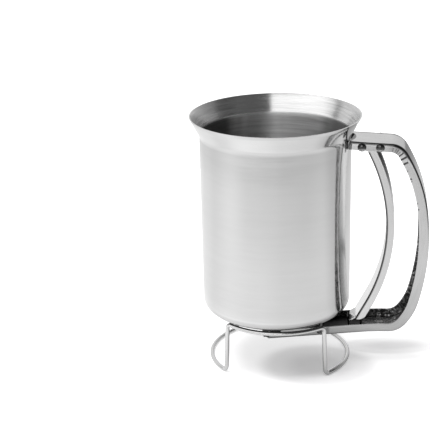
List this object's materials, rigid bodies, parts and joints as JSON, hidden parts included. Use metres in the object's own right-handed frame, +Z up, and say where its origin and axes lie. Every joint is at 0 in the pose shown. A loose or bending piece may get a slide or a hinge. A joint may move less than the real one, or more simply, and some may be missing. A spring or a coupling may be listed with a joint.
{
  "type": "pancake batter dispenser",
  "caption": "Flared steel cup with a funnel bottom, a channel handle with a squeeze trigger that pulls a slide gate from under the outlet, and a bent wire stand.",
  "frame": {"origin": "middle of the whole object's footprint, on the surface that the stand rests on", "axes": "+Z up, +X out along the handle, +Y to the far side when the handle is on the right"},
  "size_m": [0.1646, 0.1178, 0.179],
  "materials": {
    "satin_steel": "satin outside, brushed round inside",
    "handle_steel": "fine brushed sheet",
    "rivet_steel": "polished domed heads",
    "weld_steel": "small dull weld beads",
    "spring_steel": "drawn spring wire",
    "wire_steel": "bright drawn wire"
  },
  "bodies": {
    "stand": {"stand_wire": "wire_steel"},
    "dispenser": {"cup_body": "satin_steel", "outlet_ferrule": "satin_steel", "handle_channel": "handle_steel", "pivot_rivet": "rivet_steel", "anchor_rivet": "rivet_steel", "guide_rivet": "rivet_steel", "pivot_washer_near": "rivet_steel", "pivot_washer_far": "rivet_steel", "top_weld_near": "weld_steel", "top_weld_far": "weld_steel", "bottom_weld_near": "weld_steel", "bottom_weld_far": "weld_steel", "return_spring": "spring_steel"},
    "trigger": {"trigger_lever": "handle_steel"},
    "gate": {"slide_gate": "handle_steel"}
  },
  "joints": [
    {"name": "lift_off", "type": "slide", "parent": "stand", "child": "dispenser", "axis": [0, 0, 1], "range_m": [0, 0.06]},
    {"name": "trigger_pivot", "type": "hinge", "parent": "dispenser", "child": "trigger", "pos_m": [0.0357, 0, 0.16024], "axis": [0, -1, 0], "range_deg": [0, 8.5], "stiffness_Nm_per_rad": 1.5, "springref_deg": -11.46},
    {"name": "gate_slide", "type": "slide", "parent": "dispenser", "child": "gate", "axis": [0.9934, 0, 0.1149], "range_m": [0, 0.0191]}
  ],
  "couplings": [
    {"joint": "gate_slide", "follows": "trigger_pivot", "m_per_rad": 0.1287}
  ]
}
